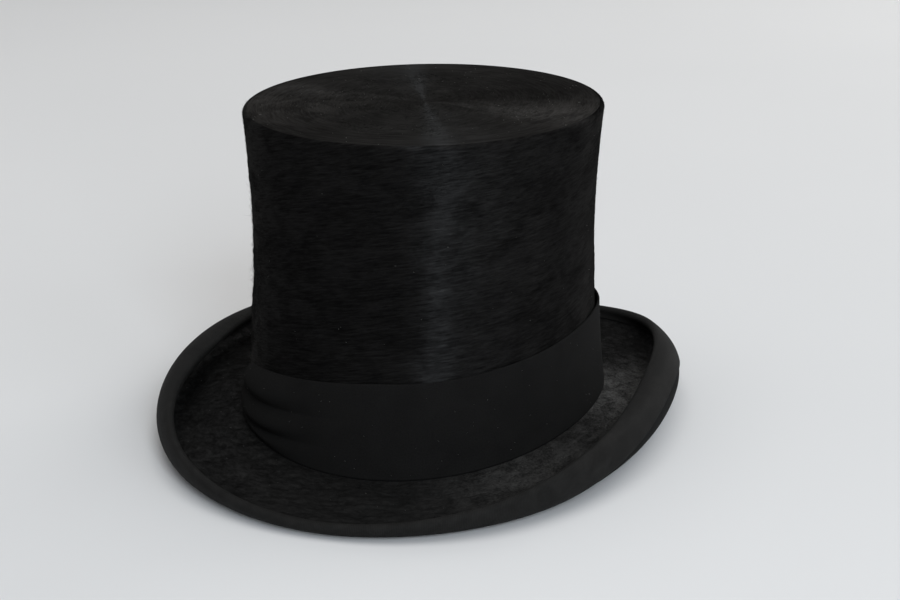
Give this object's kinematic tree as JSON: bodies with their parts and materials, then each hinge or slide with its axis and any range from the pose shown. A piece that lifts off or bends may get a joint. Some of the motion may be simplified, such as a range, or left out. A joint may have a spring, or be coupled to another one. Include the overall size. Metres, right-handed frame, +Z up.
{
  "type": "top hat",
  "caption": "Rigid top hat covered in short brushed silk plush, with a wide cloth band, a curled ribbon-bound brim, a leather sweatband and a cloth lining.",
  "frame": {"origin": "on the plane that the hat stands on, under the middle of the hat", "axes": "+Z up through the crown, -Y towards the front of the hat, +X towards the wearer's left; the hat is longest along Y"},
  "size_m": [0.246, 0.315, 0.152],
  "materials": {
    "stiffened_calico": "cotton cloth stiffened with shellac, hidden between the plush and the lining",
    "calico_tape": "plain unbleached cotton strip, hidden",
    "silk_plush": "black silk plush, short brushed pile with a soft directional sheen, lightly worn",
    "underbrim_cloth": "fine matt black cloth glued under the brim",
    "grosgrain_ribbon": "black corded ribbon with fine cross ribs and a low sheen",
    "band_cloth": "black fine wool cloth, matt, with lint and soft creases",
    "sweatband_leather": "brown roan leather, polished and darkened by wear",
    "sewing_thread": "waxed linen thread",
    "bow_ribbon": "narrow black satin ribbon",
    "lining_cloth": "off-white satin lining, slightly yellowed"
  },
  "bodies": {
    "root": {"crown_side_shell": "stiffened_calico", "crown_tip_shell": "stiffened_calico", "tip_joint_tape": "calico_tape", "robin_strip": "calico_tape", "brim_shell": "stiffened_calico", "plush_side_cover": "silk_plush", "plush_tip_cover": "silk_plush", "plush_brim_cover": "silk_plush", "underbrim_cover": "underbrim_cloth", "brim_binding": "grosgrain_ribbon", "binding_join": "grosgrain_ribbon", "hat_band": "band_cloth", "band_join": "band_cloth", "sweatband": "sweatband_leather", "sweatband_reed": "sweatband_leather", "sweatband_stitches": "sewing_thread", "sweatband_bow": "bow_ribbon", "lining_side": "lining_cloth", "lining_tip": "lining_cloth"}
  },
  "joints": []
}
